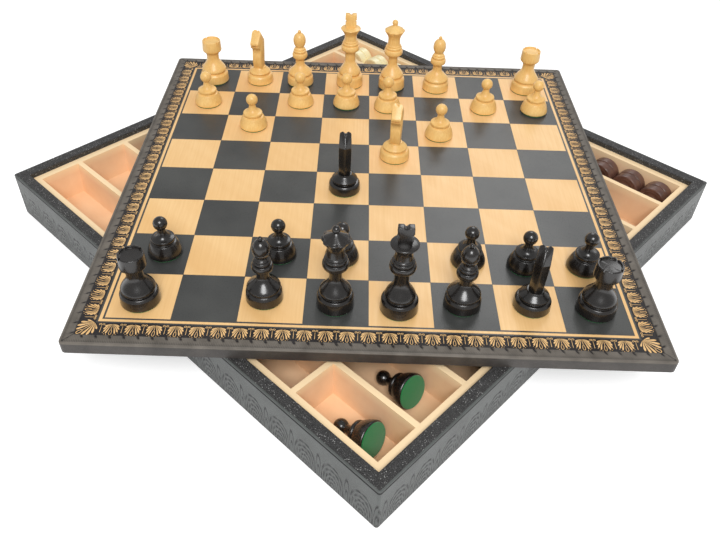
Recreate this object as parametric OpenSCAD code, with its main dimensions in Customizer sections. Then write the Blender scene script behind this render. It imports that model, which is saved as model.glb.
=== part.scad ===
// Games compendium box: a square leatherette box with a divided tray, a loose
// chessboard lid laid turned across it, a set of chessmen and two sets of draughts.
// The frame has its origin at the centre of the box's underside, X along the
// front-left wall, Y towards the back-right wall and Z up.

/* [Chessboard lid] */
// Side of one square of the board
square = 36.4; // [32:0.2:42]
// Width of the border from the squares to the lid's edge
border_w = 20; // [18:0.5:26]
// Thickness of the lid's inner board
lid_core_t = 6; // [4:0.5:10]
// Thickness of the leatherette on the lid
lid_skin_t = 0.8; // [0.6:0.1:1.2]
// Thickness of the paper lining under the lid
lid_lining_t = 0.5; // [0.3:0.1:1]
// Depth of the gilt foil let into the leatherette
foil_t = 0.2; // [0.1:0.05:0.3]
// Dark gap between two gilt squares that meet at a corner
foil_gap = 0.3; // [0.2:0.1:0.8]
// Width of the gilt line round the squares
line_w = 1.8; // [1:0.2:2.4]
// Dark gap on either side of the gilt line
line_gap = 1; // [0.6:0.2:1.2]
// Width of the embossed band along the lid's edge
edge_w = 7; // [6:0.5:12]
// Height of the embossed band's crown above the squares
edge_rise = 0.7; // [0.4:0.1:1.2]
// Radius of the lid's corners
lid_corner_r = 3; // [1:0.5:6]

/* [How the lid lies] */
// Turn of the lid on the box, in degrees
lid_turn = 43; // [40:1:48]
// Offset of the lid along the front-left wall
lid_x = 5; // [0:0.5:8]
// Offset of the lid towards the back-right wall
lid_y = -1.2; // [-4:0.2:2]

/* [Box] */
// Width of the box's rim, seen from above
rim_w = 8.2; // [7:0.2:14]
// Gap all round the lid when it lies in the box's recess
lid_gap = 1.2; // [0.6:0.1:3]
// Depth of the recess that the closed lid drops into
recess_d = 3.9; // [3:0.1:7]
// Thickness of the box's base panel
base_t = 4.2; // [3:0.2:8]
// Thickness of the lining under the base
base_lining_t = 0.6; // [0.4:0.1:1.5]
// Thickness of the leatherette on the box
box_skin_t = 1; // [0.6:0.1:1.6]
// How far the base panel's lining stays back from the box's outer faces
base_inset = 2; // [1:0.5:6]

/* [Tray] */
// Depth of the tray's compartments
tray_depth = 23; // [23:0.5:40]
// Thickness of the tray's floor
tray_floor_t = 2; // [1.5:0.1:4]
// Gap between the tray and the box's walls
tray_gap = 0.4; // [0.3:0.1:1]
// Width of the tray's flange round its compartments
flange_w = 5.9; // [4:0.1:9]
// Width of the dividers at their top
divider_w = 3.6; // [2.6:0.2:4.4]
// How far each compartment's sides lean in from top to floor
draft = 1.6; // [0.8:0.1:2.2]
// Width of the compartments along the two outer strips
side_strip_w = 28; // [26:0.5:32]
// Width of the strips next to the outer ones
inner_strip_w = 34.6; // [30:0.2:44]
// Number of wide strips in the middle
middle_strips = 3; // [2:1:4]
// Length of the short compartment at the front corner
front_pocket_l = 58.3; // [54:0.1:90]

/* [Draughts] */
// Diameter of a draught
draught_d = 21.2; // [18:0.1:22]
// Thickness of a draught
draught_t = 6.8; // [5:0.1:7.4]
// Places for draughts in each of the two filled compartments
draught_places = 6; // [5:1:6]
// Depth of the turned rings in a draught's faces
ring_d = 0.6; // [0.3:0.1:0.9]

/* [Chessmen] */
// Thickness of the felt under each chessman
felt_t = 0.6; // [0.4:0.1:1.2]
// How far the felt stays back from the base's edge
felt_inset = 0.7; // [0.4:0.1:1.2]
// Height of a king
king_h = 60; // [58:0.5:64]
// Radius of a king's base
king_r = 10.9; // [10.4:0.1:11.2]
// Height of a queen
queen_h = 57.2; // [54:0.2:60]
// Radius of a queen's base
queen_r = 10.7; // [10.2:0.1:11.2]
// Height of a bishop
bishop_h = 45.5; // [44:0.5:48]
// Radius of a bishop's base
bishop_r = 10.7; // [10.2:0.1:11.2]
// Height of a knight
knight_h = 45.5; // [44:0.5:48]
// Radius of a knight's base
knight_r = 10.7; // [10.2:0.1:11.2]
// Height of a rook
rook_h = 35; // [33:0.2:38]
// Radius of a rook's base
rook_r = 11.3; // [10.6:0.1:11.4]
// Height of a pawn
pawn_h = 26.6; // [25:0.2:29]
// Radius of a pawn's base
pawn_r = 10.5; // [9.6:0.1:10.8]
// Radius of a pawn's ball head
pawn_head_r = 4.3; // [3.8:0.1:5]
// Thickness of a knight's head from side to side
knight_head_w = 8.2; // [7:0.2:9.4]
// Width of a king's cross
cross_w = 9; // [7:0.2:10]
// Height of a king's cross
cross_h = 10; // [8:0.2:11]

/* [Play] */
// Gap kept between loose pieces and what holds them upright
loose_gap = 0.3; // [0.2:0.05:0.5]

/* [Hidden] */
$fn = 64;
ranks = 8;

// A chessman's wood starts above its felt and the film of glue between them
glue_t = 0.05;
wood_z = felt_t + glue_t;

// Heights from the underside of the box up
base_z = base_lining_t;
panel_top_z = base_z + base_t;
floor_z = panel_top_z + tray_floor_t;
flange_z = floor_z + tray_depth;
rim_z = flange_z + recess_d;
lid_z = rim_z;
core_z = lid_z + lid_lining_t;
core_top_z = core_z + lid_core_t;
board_z = core_top_z + lid_skin_t;

// Half widths from the centre out
field_half = ranks * square / 2;
band_in = field_half + 2 * line_gap + line_w;
lid_half = field_half + border_w;
recess_half = lid_half + lid_gap;
box_half = recess_half + rim_w;
liner_half = recess_half + box_skin_t;
wall_out = box_half - box_skin_t;
tray_half = liner_half - tray_gap;
pocket_half = tray_half - flange_w;

// Strips of the tray from front-left to back-right, each [low y, high y]
middle_span = 2 * (pocket_half - side_strip_w - inner_strip_w - 2 * divider_w);
middle_w = (middle_span - (middle_strips - 1) * divider_w) / middle_strips;
strip_widths = concat([side_strip_w, inner_strip_w], [for (i = [1:middle_strips]) middle_w],
    [inner_strip_w, side_strip_w]);
function before(widths, n) = n == 0 ? 0 : widths[n - 1] + divider_w + before(widths, n - 1);
strips = [for (i = [0:len(strip_widths) - 1])
    let (low = -pocket_half + before(strip_widths, i)) [low, low + strip_widths[i]]];
last_strip = strips[len(strips) - 1];

// Draughts stand on edge in pairs along the last strip
draught_r = draught_d / 2;
draught_pitch = draught_d + loose_gap;
draught_z = floor_z + loose_gap + draught_r;
side_lean = draft * (draught_z - floor_z) / tray_depth;
first_draught_x = pocket_half - (draft - side_lean) - loose_gap - draught_r;
draught_box_l = draught_places * draught_pitch + loose_gap + 2 * (draft - side_lean);
draught_back_y = last_strip[1] - draft - loose_gap;
free_places = 3;

// Every compartment as [low x, high x, strip]
front_x = pocket_half - front_pocket_l;
draught_box_x = pocket_half - draught_box_l;
pockets = concat(
    [[front_x, pocket_half, 0], [-pocket_half, front_x - divider_w, 0]],
    [for (i = [1:len(strips) - 2]) [-pocket_half, pocket_half, i]],
    [for (x = [[draught_box_x, pocket_half], [divider_w - draught_box_x, draught_box_x - divider_w],
        [-pocket_half, -draught_box_x]]) [x[0], x[1], len(strips) - 1]]);

// Where each chessman stands on the board, as [name, kind, file, rank], counted in squares from the
// board's front-left corner
black_men = [
    ["black_rook_left", "rook", 0.46, 0.40], ["black_bishop_left", "bishop", 2.37, 0.53],
    ["black_queen", "queen", 3.48, 0.44], ["black_king", "king", 4.47, 0.39],
    ["black_bishop_right", "bishop", 5.46, 0.52], ["black_knight_right", "knight", 6.55, 0.54, -16],
    ["black_rook_right", "rook", 7.54, 0.50], ["black_knight_left", "knight", 3.54, 3.47],
    ["black_pawn_1", "pawn", 0.60, 1.54], ["black_pawn_2", "pawn", 2.51, 1.57],
    ["black_pawn_3", "pawn", 3.55, 1.54], ["black_pawn_4", "pawn", 5.65, 1.54],
    ["black_pawn_5", "pawn", 6.58, 1.47], ["black_pawn_6", "pawn", 7.57, 1.48]];
white_men = [
    ["white_rook_left", "rook", 0.48, 7.52], ["white_knight_left", "knight", 1.51, 7.55, -14],
    ["white_bishop_left", "bishop", 2.43, 7.52], ["white_king", "king", 3.55, 7.52],
    ["white_queen", "queen", 4.50, 7.46], ["white_bishop_right", "bishop", 5.50, 7.43],
    ["white_rook_right", "rook", 7.53, 7.50], ["white_knight_right", "knight", 4.50, 4.59, -8],
    ["white_pawn_1", "pawn", 0.50, 6.49], ["white_pawn_2", "pawn", 1.59, 5.59],
    ["white_pawn_3", "pawn", 2.50, 6.58], ["white_pawn_4", "pawn", 3.50, 6.59],
    ["white_pawn_5", "pawn", 4.39, 6.50], ["white_pawn_6", "pawn", 5.44, 5.43],
    ["white_pawn_7", "pawn", 6.49, 6.55], ["white_pawn_8", "pawn", 7.59, 6.55]];

// The two taken pawns lie in the tray, as [name, strip, base's distance from the compartments' right end,
// how far across the strip, turn in plan]
taken_pawns = [["black_pawn_7", 0, 14.6, 0.5, 6.7], ["black_pawn_8", 1, 20.5, 0.58, 0]];

ebony = [0.10, 0.09, 0.09];
boxwood = [0.90, 0.72, 0.45];
dark_wood = [0.30, 0.20, 0.17];
cream_wood = [0.97, 0.93, 0.72];
leatherette = [0.22, 0.22, 0.22];
gilt = [0.95, 0.77, 0.50];
tray_cream = [0.98, 0.83, 0.66];
timber = [0.76, 0.64, 0.48];
green_felt = [0.0, 0.36, 0.18];

// Box
module square_slab(half, low, high) {
    translate([-half, -half, low])
        cube([2 * half, 2 * half, high - low]);
}

// One side of a square frame, cut to a mitre at both ends; its section is the child, X inwards and Y up
module mitred_side(half, turn) {
    reach = half + 1;
    rotate(turn)
        intersection() {
            translate([-half, -half, 0])
                rotate([90, 0, 90])
                    linear_extrude(2 * half)
                        children();
            linear_extrude(4 * board_z)
                polygon([[-reach, -reach], [reach, -reach], [0, 0]]);
        }
}

module mitred_frame(half) {
    for (side = [0:3])
        mitred_side(half, 90 * side)
            children();
}

module base_lining() {
    color(leatherette)
        square_slab(box_half - base_inset, 0, base_z);
}

module base_panel() {
    color(timber)
        square_slab(wall_out, base_z, panel_top_z);
}

module wall(turn) {
    color(timber)
        mitred_side(wall_out, turn)
            translate([0, panel_top_z])
                square([wall_out - liner_half, rim_z - box_skin_t - panel_top_z]);
}

module side_cover() {
    color(leatherette)
        mitred_frame(box_half)
            translate([0, base_z])
                square([box_skin_t, rim_z - base_z]);
}

// Covers the rim's top and the recess's inner faces, down to the tray's flange
module rim_cover() {
    color(leatherette)
        mitred_frame(wall_out)
            union() {
                translate([0, rim_z - box_skin_t])
                    square([wall_out - recess_half, box_skin_t]);
                translate([wall_out - liner_half, flange_z])
                    square([box_skin_t, recess_d]);
            }
}

// A compartment's space: straight sides that lean in towards the floor
module pocket(x0, x1, y0, y1) {
    over = 1;
    rise = over * draft / tray_depth;
    intersection() {
        translate([x0, 0, floor_z])
            lean_prism(x1 - x0, y0, y1, over, rise);
        translate([0, y0, floor_z])
            rotate(90)
                mirror([0, 1, 0])
                    lean_prism(y1 - y0, x0, x1, over, rise);
    }
}

// A trapezoid between two lean sides, extruded along X
module lean_prism(length, low, high, over, rise) {
    rotate([90, 0, 90])
        linear_extrude(length)
            polygon([[low + draft, 0], [high - draft, 0], [high + rise, tray_depth + over],
                [low - rise, tray_depth + over]]);
}

module tray() {
    color(tray_cream)
        difference() {
            square_slab(tray_half, panel_top_z, flange_z);
            for (p = pockets)
                pocket(p[0], p[1], strips[p[2]][0], strips[p[2]][1]);
        }
}

// Lid
module on_lid() {
    translate([lid_x, lid_y, 0])
        rotate(lid_turn)
            children();
}

module rounded_square(half, r) {
    square(2 * [half, half - r], center = true);
    square(2 * [half - r, half], center = true);
    for (x = [-1, 1], y = [-1, 1])
        translate([x * (half - r), y * (half - r)])
            circle(r);
}

module lid_lining() {
    color(leatherette)
        on_lid()
            translate([0, 0, lid_z])
                linear_extrude(lid_lining_t)
                    rounded_square(lid_half - lid_skin_t, lid_corner_r - lid_skin_t);
}

module lid_core() {
    color(timber)
        on_lid()
            translate([0, 0, core_z])
                linear_extrude(lid_core_t)
                    rounded_square(lid_half - lid_skin_t, lid_corner_r - lid_skin_t);
}

// Section of the border's covering: down the lid's side, over the crowned band and in to the squares
module border_section() {
    crown = board_z + edge_rise;
    brow = crown - 0.3 * edge_rise;
    polygon([[0, lid_z], [0, core_top_z], [0.08 * edge_w, board_z], [0.25 * edge_w, brow],
        [0.5 * edge_w, crown], [0.78 * edge_w, brow], [0.95 * edge_w, board_z],
        [lid_half - band_in, board_z], [lid_half - band_in, core_top_z], [lid_skin_t, core_top_z],
        [lid_skin_t, lid_z]]);
}

module lid_border() {
    color(leatherette)
        on_lid()
            intersection() {
                mitred_frame(lid_half)
                    border_section();
                translate([0, 0, lid_z - 1])
                    linear_extrude(board_z)
                        rounded_square(lid_half, lid_corner_r);
            }
}

// Gilt squares and the gilt line round them, drawn flat
module gilt_pattern() {
    for (file = [0:ranks - 1], rank = [0:ranks - 1])
        if ((file + rank) % 2 == 0)
            translate([(file + 0.5) * square - field_half, (rank + 0.5) * square - field_half])
                square(square - foil_gap, center = true);
    difference() {
        square(2 * (field_half + line_gap + line_w), center = true);
        square(2 * (field_half + line_gap), center = true);
    }
}

module board_leather() {
    color(leatherette)
        on_lid()
            difference() {
                translate([0, 0, core_top_z])
                    linear_extrude(lid_skin_t)
                        square(2 * band_in, center = true);
                translate([0, 0, board_z - foil_t])
                    linear_extrude(2 * foil_t)
                        gilt_pattern();
            }
}

module gilt_squares() {
    color(gilt)
        on_lid()
            translate([0, 0, board_z - foil_t])
                linear_extrude(foil_t)
                    gilt_pattern();
}

// Chessmen, each turned about Z with its felt's underside at zero

// Concave sweep from a wide low point to a narrow high one, upright at its top
function hollow(a, b, n = 6) = [for (i = [1:n]) let (t = 90 * i / n)
    [b[0] + (a[0] - b[0]) * (1 - sin(t)), a[1] + (b[1] - a[1]) * (1 - cos(t))]];

// A turned bell: full at its shoulder, then drawn in to an upright neck
function bell(a, b, n = 10) = [for (i = [1:n]) let (u = i / n)
    [b[0] + (a[0] - b[0]) * (1 + cos(180 * pow(u, 0.85))) / 2, a[1] + (b[1] - a[1]) * u]];

// A ball's outline from its neck up to its pole
function ball(z, r, neck_r, n = 10) = let (start = -acos(neck_r / r))
    [for (i = [0:n]) let (t = start + (90 - start) * i / n) [r * cos(t), z + r * sin(t)]];

// Convex slope from a low point, upright there, to a higher and narrower one
function slope(a, b, n = 6) = [for (i = [1:n]) let (u = i / n)
    [a[0] + (b[0] - a[0]) * pow(u, 1.6), a[1] + (b[1] - a[1]) * u]];

// Drum base of radius r with its eased top edge, then a groove and the edge of a shoulder of radius s
groove_h = 1;
function drum(r, h, s) = [[0, wood_z], [r - 0.5, wood_z], [r, wood_z + 0.5], [r - 0.5, h - 1.3],
    [r - 0.8, h - 0.4], [r - 1.2, h], [s - 0.8, h], [s - 0.8, h + groove_h], [s - 0.3, h + groove_h],
    shoulder(h, s)];
function shoulder(h, s) = [s, h + groove_h + 0.8];

// Collar above a neck: a thin lip, the round ring and two thinner rings, with its lowest point at z
collar_h = 9.7;
function ring(r, z, w, h) = [for (t = [-60:20:60]) [r - w + w * cos(t), z + h * sin(t)]];
function collar(neck_r, r, z) = concat(
    [[neck_r, z], [r - 2, z + 0.5], [r - 1.7, z + 1.3]],
    ring(r, z + 3.8, 1.2, 2.4),
    [[r - 1.5, z + 6.1]],
    ring(r - 0.9, z + 7.2, 0.7, 1),
    ring(r - 1.7, z + 8.9, 0.5, 0.6),
    [[r - 2.4, z + collar_h]]);

king_drum_h = 9.8;
king_shoulder_r = 8.8;
king_neck_r = 4.1;
king_collar_r = 7.4;
king_collar_z = king_h - 31;
king_brim_z = king_h - 11.8;
king_outline = concat(
    drum(king_r, king_drum_h, king_shoulder_r),
    bell(shoulder(king_drum_h, king_shoulder_r), [king_neck_r, king_collar_z - 6]),
    collar(king_neck_r, king_collar_r, king_collar_z),
    [[4.8, king_brim_z - 5.6], [5.1, king_brim_z - 4.4], [5.9, king_brim_z - 2.8],
        [7.6, king_brim_z - 0.4], [7.9, king_brim_z], [7.6, king_brim_z + 0.5], [4.8, king_brim_z + 1.2],
        [0, king_brim_z + 1.4]]);

queen_drum_h = 9.8;
queen_shoulder_r = 9.1;
queen_neck_r = 3.6;
queen_collar_r = 7.4;
queen_collar_z = queen_h - 29.5;
queen_rim_z = queen_h - 8.6;
queen_ball_r = 2.35;
queen_outline = concat(
    drum(queen_r, queen_drum_h, queen_shoulder_r),
    bell(shoulder(queen_drum_h, queen_shoulder_r), [queen_neck_r, queen_collar_z - 5.8]),
    collar(queen_neck_r, queen_collar_r, queen_collar_z),
    [[4.7, queen_rim_z - 6.6], [5, queen_rim_z - 5], [5.8, queen_rim_z - 3.2],
        [7.7, queen_rim_z - 0.6], [8, queen_rim_z], [7.8, queen_rim_z + 0.6], [6.7, queen_rim_z + 1],
        [6.5, queen_rim_z + 1.4], [2.6, queen_rim_z + 3.6]],
    ball(queen_h - queen_ball_r, queen_ball_r, 1.6));

bishop_drum_h = 8;
bishop_shoulder_r = 9.7;
bishop_neck_r = 3.6;
bishop_collar_r = 6.1;
bishop_collar_z = bishop_h - 24.3;
bishop_mitre_z = bishop_h - 8.3;
bishop_mitre_r = 5;
bishop_ball_r = 1.35;
bishop_outline = concat(
    drum(bishop_r, bishop_drum_h, bishop_shoulder_r),
    bell(shoulder(bishop_drum_h, bishop_shoulder_r), [bishop_neck_r, bishop_collar_z - 3]),
    collar(bishop_neck_r, bishop_collar_r, bishop_collar_z),
    [[3.3, bishop_collar_z + collar_h + 0.6]],
    [for (t = [-48:12:72]) [bishop_mitre_r * cos(t), bishop_mitre_z + (t < 0 ? 7 : 6.2) * sin(t)]],
    ball(bishop_h - bishop_ball_r, bishop_ball_r, 0.9));

rook_drum_h = 8.6;
rook_shoulder_r = 9.8;
rook_neck_r = 4.8;
rook_cup_z = rook_h - 8;
rook_cup_r = 7.6;
rook_cup_t = 1.2;
rook_cup_d = 1.2;
rook_outline = concat(
    drum(rook_r, rook_drum_h, rook_shoulder_r),
    bell(shoulder(rook_drum_h, rook_shoulder_r), [rook_neck_r, rook_cup_z - 6.4]),
    [[rook_neck_r + 0.1, rook_cup_z - 2.8], [rook_cup_r - 1.2, rook_cup_z - 1.5],
        [rook_cup_r - 0.1, rook_cup_z - 0.2], [rook_cup_r, rook_cup_z + 0.8], [rook_cup_r - 0.4, rook_h - 0.5],
        [rook_cup_r - 0.7, rook_h], [rook_cup_r - 0.4 - rook_cup_t, rook_h],
        [rook_cup_r - 0.6 - rook_cup_t, rook_h - rook_cup_d], [0, rook_h - rook_cup_d]]);

knight_drum_h = 7.6;
knight_shoulder_r = 8.7;
knight_seat_r = 5.2;
knight_seat_z = knight_drum_h + 6;
knight_outline = concat(
    drum(knight_r, knight_drum_h, knight_shoulder_r),
    bell(shoulder(knight_drum_h, knight_shoulder_r), [knight_seat_r, knight_seat_z]),
    [[0, knight_seat_z]]);

pawn_ledge_z = pawn_h - 16.4;
pawn_ledge_r = pawn_r - 3.3;
pawn_body = concat(
    [[0, wood_z], [pawn_r - 0.5, wood_z], [pawn_r, wood_z + 0.6]],
    slope([pawn_r, wood_z + 0.6], [pawn_ledge_r + 0.6, pawn_ledge_z - 1.1]),
    [[pawn_ledge_r - 0.6, pawn_ledge_z - 0.8], [pawn_ledge_r - 0.6, pawn_ledge_z - 0.1]],
    [for (t = [-50:25:50]) [pawn_ledge_r - 0.6 + 0.6 * cos(t), pawn_ledge_z + 1 + 1.1 * sin(t)]],
    hollow([pawn_ledge_r - 0.7, pawn_ledge_z + 2.2], [2.4, pawn_h - 2 * pawn_head_r + 0.3]));
pawn_outline = concat(pawn_body, ball(pawn_h - pawn_head_r, pawn_head_r, 2.3));

module turned(outline) {
    rotate_extrude()
        polygon(outline);
}

// The king's block cross: notched on top and grooved at half height on its sides
module king_cross() {
    foot = king_h - cross_h;
    depth = 0.48 * cross_w;
    notch = 0.22 * cross_w;
    difference() {
        translate([-cross_w / 2, -depth / 2, foot - 1.5])
            cube([cross_w, depth, cross_h + 1.5]);
        translate([0, 0, king_h])
            notch_cut(notch, depth);
        for (side = [-1, 1])
            translate([side * cross_w / 2, 0, foot + 0.46 * cross_h])
                notch_cut(notch, depth);
    }
}

// A square bar on its edge, along Y
module notch_cut(size, length) {
    rotate([0, 45, 0])
        cube([size, 2 * length, size], center = true);
}

module king() {
    turned(king_outline);
    king_cross();
}

// Scallops round the queen's coronet
coronet_scallops = 9;
module queen() {
    difference() {
        turned(queen_outline);
        for (i = [0:coronet_scallops - 1])
            rotate(360 * (i + 0.5) / coronet_scallops)
                translate([8.8, 0, queen_rim_z - 4])
                    cylinder(h = 7, r = 1.5, $fn = 24);
    }
}

// The slit in the bishop's mitre
slit_w = 0.9;
module bishop() {
    difference() {
        turned(bishop_outline);
        translate([0, 0, bishop_h - 7])
            rotate([35, 0, 0])
                translate([-6, -7, -slit_w / 2])
                    cube([12, 6, slit_w]);
    }
}

// Slits in the rook's rim
rook_slits = 4;
module rook() {
    difference() {
        turned(rook_outline);
        for (i = [0:rook_slits - 1])
            rotate(45 + 360 * i / rook_slits)
                translate([rook_cup_r - 2 * rook_cup_t, -0.6, rook_h - rook_cup_d])
                    cube([3 * rook_cup_t, 1.2, 2 * rook_cup_d]);
    }
}

// The knight's head is a slab sawn to its side outline and then to its front outline and plan; it faces +Y
head_foot_z = knight_seat_z - 0.8;

// Chest, throat, jaw, muzzle, brow and ear, then down the mane to its bend and the back
mane_top = [-2.4, knight_h - 3.5];
mane_bend = [-7, knight_h - 9.5];
mane_foot = [-4.5, head_foot_z];
module knight_side() {
    top = knight_h;
    foot = head_foot_z;
    polygon([[4, foot], [5.6, foot + 5.6], [5.3, foot + 11], [4.2, foot + 14.4], [4.6, top - 15.6],
        [7.6, top - 13.8], [9, top - 12.2], [8.9, top - 9.4], [3.6, top - 4.1], [2.4, top - 2.9],
        [0.7, top], [-1.3, top - 2.8], mane_top, mane_bend, mane_foot]);
}

// Right half of the front outline, up to its ear and down into the notch between the ears
module knight_front_half(w) {
    polygon([[0, head_foot_z], [w - 0.2, head_foot_z], [w, knight_h - 20], [w, knight_h - 10],
        [w - 0.3, knight_h - 4], [w - 1.1, knight_h], [w - 1.8, knight_h], [0, knight_h - 3.2]]);
}

// Right half of the plan, drawn in at the muzzle
module knight_plan_half(w) {
    polygon([[0, 9.6], [w - 0.9, 9.6], [w - 0.7, 5], [w, 1.5], [w, -8], [0, -8]]);
}

// The mane's two faces meet in a ridge that runs from one point of the back to another
keel_in = 3.4;
module keel(w, low, high) {
    lean = atan2(high[0] - low[0], high[1] - low[1]);
    reach = 2 * knight_h;
    translate([0, low[0], low[1]])
        rotate([-lean, 0, 0])
            linear_extrude(2 * reach, center = true)
                polygon([[-w, reach], [-w, keel_in], [-0.3, 0], [0.3, 0], [w, keel_in], [w, reach]]);
}

module both_sides() {
    children();
    mirror([1, 0])
        children();
}

module knight() {
    w = knight_head_w / 2;
    turned(knight_outline);
    difference() {
        intersection() {
            translate([-w - 1, 0, 0])
                rotate([90, 0, 90])
                    linear_extrude(2 * w + 2)
                        knight_side();
            translate([0, knight_r, 0])
                rotate([90, 0, 0])
                    linear_extrude(2 * knight_r)
                        both_sides()
                            knight_front_half(w);
            translate([0, 0, head_foot_z])
                linear_extrude(knight_h - head_foot_z)
                    both_sides()
                        knight_plan_half(w);
            keel(w + 0.1, mane_foot, mane_bend);
            keel(w + 0.1, mane_bend, mane_top);
        }
        translate([0, 9.2, knight_h - 11.4])
            rotate([20, 0, 0])
                cube([2 * w + 2, 4, 0.7], center = true);
    }
}

module pawn() {
    turned(pawn_outline);
}

module chessman(kind) {
    if (kind == "king") king();
    if (kind == "queen") queen();
    if (kind == "bishop") bishop();
    if (kind == "knight") knight();
    if (kind == "rook") rook();
    if (kind == "pawn") pawn();
}

function base_r(kind) = kind == "king" ? king_r : kind == "queen" ? queen_r
    : kind == "bishop" ? bishop_r : kind == "knight" ? knight_r : kind == "rook" ? rook_r : pawn_r;

module wood_and_felt(kind, wood) {
    color(wood)
        chessman(kind);
    color(green_felt)
        cylinder(h = felt_t, r = base_r(kind) - felt_inset);
}

// A man on the board; black faces away from the front edge and white towards it, and a knight may be
// turned a little further
module standing(man, wood, facing) {
    on_lid()
        translate([man[2] * square - field_half, man[3] * square - field_half, board_z])
            rotate(facing + (len(man) > 4 ? man[4] : 0))
                wood_and_felt(man[1], wood);
}

// How far a fallen pawn's axis dips so that its body and its head both lie on the floor
function reach_of(outline, dip) = max([for (p = outline) p[0] * cos(dip) + p[1] * sin(dip)]);
function head_reach(dip) = pawn_head_r + (pawn_h - pawn_head_r) * sin(dip);
function dip_between(low, high, n) = let (mid = (low + high) / 2)
    n == 0 ? mid : reach_of(pawn_body, mid) > head_reach(mid) ? dip_between(mid, high, n - 1)
        : dip_between(low, mid, n - 1);
pawn_dip = dip_between(5, 40, 20);

module fallen(p) {
    strip = strips[p[1]];
    translate([pocket_half - p[2], strip[0] + p[3] * (strip[1] - strip[0]),
        floor_z + loose_gap + reach_of(pawn_body, pawn_dip)])
        rotate(p[4])
            rotate([0, -90 - pawn_dip, 0])
                wood_and_felt("pawn", ebony);
}

// Outline of half a draught's face: a dished middle, two raised rings and a rounded edge
half_face = [[0, ring_d], [0.16 * draught_d, ring_d], [0.18 * draught_d, 0.4 * ring_d],
    [0.22 * draught_d, 0.4 * ring_d], [0.24 * draught_d, ring_d], [0.34 * draught_d, ring_d],
    [0.37 * draught_d, 0], [draught_r - 0.6, 0], [draught_r, 0.6]];
other_face = [for (i = [len(half_face) - 1:-1:0]) [half_face[i][0], draught_t - half_face[i][1]]];

// A draught stands on edge with its axis along Y and its back face at y
module draught(x, y) {
    translate([x, y, draught_z])
        rotate([90, 0, 0])
            rotate_extrude()
                polygon(concat(half_face, other_face));
}

function place_x(place) = first_draught_x - place * draught_pitch;

// Both draughts of one place, or one of them: row 0 at the back, row 1 in front of it
module draught_at(side, place, row) {
    draught(side * place_x(place), draught_back_y - row * (draught_t + loose_gap));
}

// Free draughts as [name, side, place, row]; the rest of each set lies under the lid
function free_draughts(set, side) = [for (place = [0:free_places - 1], row = [0, 1])
    [str(set, "_draught_", 2 * place + row + 1), side, place, row]];
dark_free = free_draughts("dark", 1);
cream_free = free_draughts("cream", -1);

module covered_draughts(side, wood) {
    color(wood)
        for (place = [free_places:draught_places - 1], row = [0, 1])
            draught_at(side, place, row);
}

function names(list) = [for (item = list) item[0]];

base_lining();
base_panel();
wall(0);  // wall_front_left
wall(90);  // wall_front_right
wall(180);  // wall_back_right
wall(270);  // wall_back_left
side_cover();
rim_cover();
tray();
lid_lining();
lid_core();
lid_border();
board_leather();
gilt_squares();
covered_draughts(1, dark_wood);  // dark_draughts_under_lid
covered_draughts(-1, cream_wood);  // cream_draughts_under_lid
for (d = dark_free)
    color(dark_wood) draught_at(d[1], d[2], d[3]);
for (d = cream_free)
    color(cream_wood) draught_at(d[1], d[2], d[3]);
for (man = black_men)
    standing(man, ebony, 0);
for (p = taken_pawns)
    fallen(p);
for (man = white_men)
    standing(man, boxwood, 180);
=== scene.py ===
import math

import bmesh
import bpy
import numpy as np
from mathutils import Matrix, Vector


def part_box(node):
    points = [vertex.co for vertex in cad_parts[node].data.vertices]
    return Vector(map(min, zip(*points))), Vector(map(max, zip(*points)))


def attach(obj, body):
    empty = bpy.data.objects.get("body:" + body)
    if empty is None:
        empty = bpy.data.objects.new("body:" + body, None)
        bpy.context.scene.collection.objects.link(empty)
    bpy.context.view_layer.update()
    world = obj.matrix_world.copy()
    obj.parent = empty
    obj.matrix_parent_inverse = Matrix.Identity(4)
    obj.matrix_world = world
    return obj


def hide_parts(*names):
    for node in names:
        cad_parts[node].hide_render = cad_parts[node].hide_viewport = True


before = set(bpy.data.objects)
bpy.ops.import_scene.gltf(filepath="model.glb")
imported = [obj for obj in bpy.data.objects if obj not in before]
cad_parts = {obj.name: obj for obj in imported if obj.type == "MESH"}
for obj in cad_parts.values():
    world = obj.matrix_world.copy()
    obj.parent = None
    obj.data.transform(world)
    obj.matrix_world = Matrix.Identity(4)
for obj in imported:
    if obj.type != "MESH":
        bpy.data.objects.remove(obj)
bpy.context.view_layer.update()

MM = 0.001

# Driving sizes of the looks, in millimetres
SQUARE = 36.4
RANKS = 8
BORDER_W = 20.0
LINE_GAP = 1.0
LINE_W = 1.8
EDGE_W = 7.0
EDGE_RISE = 0.7
LID_CORNER_R = 3.0
BOX_CORNER_R = 1.6
FOLD_DROP = 1.5
LID_TURN = math.radians(43)
WOOD_Z = 0.65
FELT_T = 0.6
FELT_INSET = 0.7

field_half = RANKS * SQUARE / 2
band_in = field_half + 2 * LINE_GAP + LINE_W
lid_half = field_half + BORDER_W


def box_mm(node):
    low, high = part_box(node)
    return np.array(low) / MM, np.array(high) / MM


lid_low, lid_high = box_mm("lid_core")
lid_centre = (lid_low + lid_high) / 2
board_z = box_mm("board_leather")[1][2]
lid_z = box_mm("lid_lining")[0][2]
core_top_z = lid_high[2]
box_low, box_high = box_mm("side_cover")
box_half = box_high[0]
rim_z = box_high[2]
fold_z = rim_z - FOLD_DROP
flange_z = box_mm("tray")[1][2]
recess_half = box_mm("tray")[1][0] - 0.6

# Where a point of the board, in millimetres from its centre at the board's face, lies in the row frame
board_to_row = (Matrix.Translation(Vector((lid_centre[0], lid_centre[1], board_z)) * MM)
                @ Matrix.Rotation(LID_TURN, 4, "Z"))


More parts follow.
